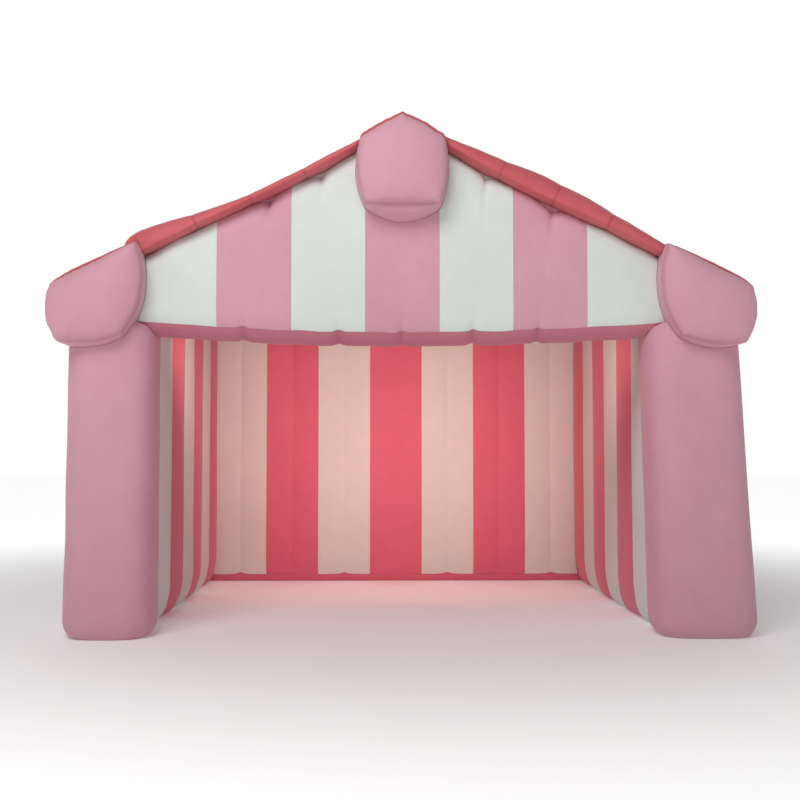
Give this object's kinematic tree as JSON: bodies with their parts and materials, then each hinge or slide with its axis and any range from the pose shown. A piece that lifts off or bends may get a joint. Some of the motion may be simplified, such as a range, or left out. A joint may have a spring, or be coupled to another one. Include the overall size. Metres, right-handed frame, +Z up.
{
  "type": "inflatable tent",
  "caption": "Open-fronted inflatable tent with a gabled roof on air beams and pillars, and pink and white striped air walls.",
  "frame": {"origin": "on the ground, at the middle of the tent's outline", "axes": "+Z up, -Y out of the open front, +X to the right seen from the front"},
  "size_m": [4.7648, 4.32, 3.5],
  "materials": {
    "pink_fabric": "satin coated fabric",
    "white_fabric": "satin coated fabric",
    "rose_fabric": "satin coated fabric",
    "red_fabric": "satin coated fabric"
  },
  "bodies": {
    "root": {"ridge_beam": "pink_fabric", "eave_beam_left": "pink_fabric", "eave_beam_right": "pink_fabric", "roof_mat_left": "red_fabric", "roof_mat_right": "red_fabric", "pillar_left": "pink_fabric", "pillar_right": "pink_fabric", "rear_post_left": "pink_fabric", "rear_post_right": "pink_fabric", "gable_stripe_1": "white_fabric", "gable_stripe_2": "pink_fabric", "gable_stripe_3": "white_fabric", "gable_stripe_4": "pink_fabric", "gable_stripe_5": "white_fabric", "gable_stripe_6": "pink_fabric", "gable_stripe_7": "white_fabric", "gable_band": "pink_fabric", "back_stripe_1": "white_fabric", "back_stripe_2": "rose_fabric", "back_stripe_3": "white_fabric", "back_stripe_4": "rose_fabric", "back_stripe_5": "white_fabric", "back_stripe_6": "rose_fabric", "back_stripe_7": "white_fabric", "back_band": "rose_fabric", "left_stripe_1": "white_fabric", "left_stripe_2": "rose_fabric", "left_stripe_3": "white_fabric", "left_stripe_4": "rose_fabric", "left_stripe_5": "white_fabric", "left_stripe_6": "rose_fabric", "right_stripe_1": "white_fabric", "right_stripe_2": "rose_fabric", "right_stripe_3": "white_fabric", "right_stripe_4": "rose_fabric", "right_stripe_5": "white_fabric", "right_stripe_6": "rose_fabric"}
  },
  "joints": []
}
